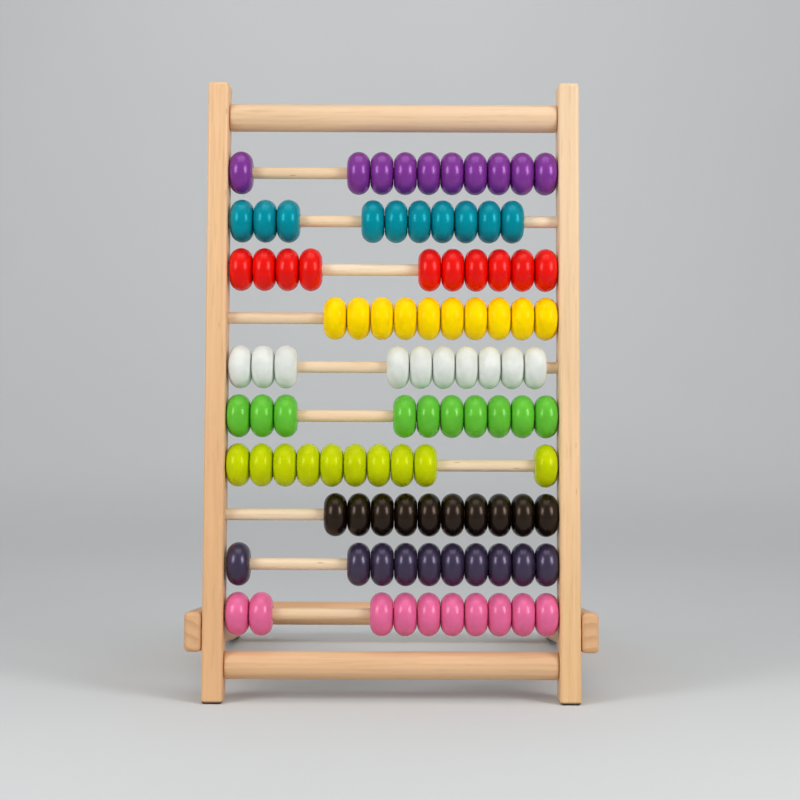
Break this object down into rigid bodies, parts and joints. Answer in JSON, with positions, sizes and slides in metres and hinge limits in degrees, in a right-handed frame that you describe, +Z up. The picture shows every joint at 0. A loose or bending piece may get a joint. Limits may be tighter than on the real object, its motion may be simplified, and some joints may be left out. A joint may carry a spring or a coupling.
{
  "type": "vertical abacus",
  "caption": "Upright counting frame that leans back on a fixed rear stand, with rows of round painted beads that slide along thin wooden rods.",
  "frame": {"origin": "on the floor, at the middle of the bounding box's base", "axes": "+Z up; -Y is the front, where the user sits, and the stand runs back to +Y; +X is the user's right, along the rods"},
  "size_m": [0.2528, 0.2764, 0.3823],
  "materials": {
    "beech": "clear lacquered beech",
    "beech_rod": "clear lacquered pale beech",
    "paint_purple": "glossy painted wood",
    "paint_teal": "glossy painted wood",
    "paint_red": "glossy painted wood",
    "paint_yellow": "glossy painted wood",
    "paint_white": "glossy painted wood",
    "paint_green": "glossy painted wood",
    "paint_lime": "glossy painted wood",
    "paint_brown": "glossy painted wood",
    "paint_indigo": "glossy painted wood",
    "paint_pink": "glossy painted wood"
  },
  "bodies": {
    "frame": {"left_upright": "beech", "right_upright": "beech", "top_rail": "beech", "bottom_rail": "beech", "rod_01": "beech_rod", "rod_02": "beech_rod", "rod_03": "beech_rod", "rod_04": "beech_rod", "rod_05": "beech_rod", "rod_06": "beech_rod", "rod_07": "beech_rod", "rod_08": "beech_rod", "rod_09": "beech_rod", "rod_10": "beech_rod", "left_leg": "beech", "right_leg": "beech", "rear_crossbar": "beech", "left_leg_dowel_front": "beech_rod", "left_leg_dowel_rear": "beech_rod", "right_leg_dowel_front": "beech_rod", "right_leg_dowel_rear": "beech_rod"},
    "row01_left": {"row01_left_lead": "paint_purple"},
    "row01_right": {"row01_right_lead": "paint_purple", "row01_right_stack": "paint_purple"},
    "row02_left": {"row02_left_lead": "paint_teal", "row02_left_stack": "paint_teal"},
    "row02_right": {"row02_right_lead": "paint_teal", "row02_right_stack": "paint_teal"},
    "row03_left": {"row03_left_lead": "paint_red", "row03_left_stack": "paint_red"},
    "row03_right": {"row03_right_lead": "paint_red", "row03_right_stack": "paint_red"},
    "row04_stack": {"row04_right_stack": "paint_yellow"},
    "row04_lead": {"row04_right_lead": "paint_yellow"},
    "row05_left": {"row05_left_lead": "paint_white", "row05_left_stack": "paint_white"},
    "row05_right": {"row05_right_lead": "paint_white", "row05_right_stack": "paint_white"},
    "row06_left": {"row06_left_lead": "paint_green", "row06_left_stack": "paint_green"},
    "row06_right": {"row06_right_lead": "paint_green", "row06_right_stack": "paint_green"},
    "row07_left": {"row07_left_lead": "paint_lime", "row07_left_stack": "paint_lime"},
    "row07_right": {"row07_right_lead": "paint_lime"},
    "row08_stack": {"row08_right_stack": "paint_brown"},
    "row08_lead": {"row08_right_lead": "paint_brown"},
    "row09_left": {"row09_left_lead": "paint_indigo"},
    "row09_right": {"row09_right_lead": "paint_indigo", "row09_right_stack": "paint_indigo"},
    "row10_left": {"row10_left_lead": "paint_pink", "row10_left_stack": "paint_pink"},
    "row10_right": {"row10_right_lead": "paint_pink", "row10_right_stack": "paint_pink"}
  },
  "joints": [
    {"name": "row01_left_slide", "type": "slide", "parent": "frame", "child": "row01_left", "axis": [1, 0, 0], "range_m": [0, 0.0588]},
    {"name": "row01_right_slide", "type": "slide", "parent": "frame", "child": "row01_right", "axis": [1, 0, 0], "range_m": [-0.0588, 0]},
    {"name": "row02_left_slide", "type": "slide", "parent": "frame", "child": "row02_left", "axis": [1, 0, 0], "range_m": [-0.0008, 0.0382]},
    {"name": "row02_right_slide", "type": "slide", "parent": "frame", "child": "row02_right", "axis": [1, 0, 0], "range_m": [-0.0382, 0.0207]},
    {"name": "row03_left_slide", "type": "slide", "parent": "frame", "child": "row03_left", "axis": [1, 0, 0], "range_m": [-0.0006, 0.0596]},
    {"name": "row03_right_slide", "type": "slide", "parent": "frame", "child": "row03_right", "axis": [1, 0, 0], "range_m": [-0.0596, 0]},
    {"name": "row04_stack_slide", "type": "slide", "parent": "frame", "child": "row04_stack", "axis": [1, 0, 0], "range_m": [-0.0593, 0]},
    {"name": "row04_lead_slide", "type": "slide", "parent": "row04_stack", "child": "row04_lead", "axis": [-1, 0, 0], "range_m": [0, 0.0593]},
    {"name": "row05_left_slide", "type": "slide", "parent": "frame", "child": "row05_left", "axis": [1, 0, 0], "range_m": [-0.0009, 0.0553]},
    {"name": "row05_right_slide", "type": "slide", "parent": "frame", "child": "row05_right", "axis": [1, 0, 0], "range_m": [-0.0553, 0.007]},
    {"name": "row06_left_slide", "type": "slide", "parent": "frame", "child": "row06_left", "axis": [1, 0, 0], "range_m": [0, 0.059]},
    {"name": "row06_right_slide", "type": "slide", "parent": "frame", "child": "row06_right", "axis": [1, 0, 0], "range_m": [-0.059, 0]},
    {"name": "row07_left_slide", "type": "slide", "parent": "frame", "child": "row07_left", "axis": [1, 0, 0], "range_m": [0, 0.05985]},
    {"name": "row07_right_slide", "type": "slide", "parent": "frame", "child": "row07_right", "axis": [1, 0, 0], "range_m": [-0.05985, 0.00025]},
    {"name": "row08_stack_slide", "type": "slide", "parent": "frame", "child": "row08_stack", "axis": [1, 0, 0], "range_m": [-0.0603, 0]},
    {"name": "row08_lead_slide", "type": "slide", "parent": "row08_stack", "child": "row08_lead", "axis": [-1, 0, 0], "range_m": [0, 0.0603]},
    {"name": "row09_left_slide", "type": "slide", "parent": "frame", "child": "row09_left", "axis": [1, 0, 0], "range_m": [-0.0009, 0.0595]},
    {"name": "row09_right_slide", "type": "slide", "parent": "frame", "child": "row09_right", "axis": [1, 0, 0], "range_m": [-0.0595, 0]},
    {"name": "row10_left_slide", "type": "slide", "parent": "frame", "child": "row10_left", "axis": [1, 0, 0], "range_m": [-0.0006, 0.0595]},
    {"name": "row10_right_slide", "type": "slide", "parent": "frame", "child": "row10_right", "axis": [1, 0, 0], "range_m": [-0.0595, 0]}
  ]
}
